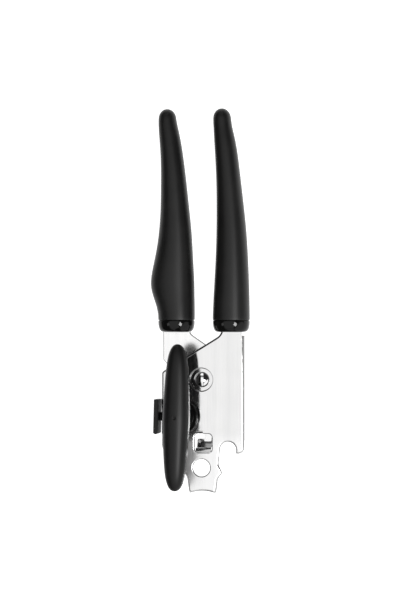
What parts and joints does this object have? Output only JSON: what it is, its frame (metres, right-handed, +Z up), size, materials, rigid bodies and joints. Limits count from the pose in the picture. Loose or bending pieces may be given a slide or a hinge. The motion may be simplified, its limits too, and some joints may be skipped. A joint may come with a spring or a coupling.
{
  "type": "manual can opener",
  "caption": "Manual butterfly can opener: pressed steel body and pivoting arm with soft black grips, turning knob, feed wheel, cutting wheel, bottle-opener notch and hanging hole.",
  "frame": {"origin": "middle of the underside of the opener's box, with the opener lying on its back, knob up", "axes": "+Y along the handles towards their ends, +Z up towards the knob, +X to the right as the user sees the knob with the handles pointing up"},
  "size_m": [0.055, 0.2106, 0.0347],
  "materials": {
    "body_steel": "polished stainless with a fine lengthwise brushing",
    "arm_steel": "polished stainless",
    "rivet_steel": "bright polished",
    "washer_steel": "plain steel",
    "hard_steel": "ground and hardened",
    "bushing_steel": "turned steel",
    "pin_steel": "plain steel",
    "nylon": "black nylon",
    "gloss_black": "glossy moulded plastic",
    "soft_black": "matt soft-touch rubber",
    "knob_black": "matt moulded plastic",
    "pad_black": "matt moulded nylon"
  },
  "bodies": {
    "body": {"body_plate": "body_steel", "right_handle_core": "gloss_black", "right_grip": "soft_black", "right_tang_pins": "pin_steel", "pivot_rivet": "rivet_steel", "pivot_washer": "washer_steel", "pivot_back_washer": "washer_steel", "drive_bushing": "bushing_steel", "wall_rest_pad": "pad_black", "wall_rest_rivet": "rivet_steel"},
    "arm": {"arm_plate": "arm_steel", "left_handle_core": "gloss_black", "left_grip": "soft_black", "left_tang_pins": "pin_steel", "cutter_stud": "rivet_steel", "cutter_washer": "washer_steel", "cutter_screw": "rivet_steel"},
    "knob": {"knob_core": "gloss_black", "knob_wing": "knob_black", "knob_pin": "pin_steel", "knob_washer": "nylon", "drive_shaft": "hard_steel", "feed_wheel": "hard_steel", "feed_washer": "washer_steel"},
    "cutter": {"cutter_wheel": "hard_steel"}
  },
  "joints": [
    {"name": "arm_pivot", "type": "hinge", "parent": "body", "child": "arm", "pos_m": [0.0011, -0.04321, 0.00768], "axis": [0, 0, 1], "range_deg": [0, 35]},
    {"name": "knob_turn", "type": "hinge", "parent": "body", "child": "knob", "pos_m": [-0.0098, -0.06341, 0.01648], "axis": [0, 0, 1], "continuous": true},
    {"name": "cutter_spin", "type": "hinge", "parent": "arm", "child": "cutter", "pos_m": [0.00498, -0.05872, 0.00258], "axis": [0, 0, 1], "continuous": true}
  ]
}
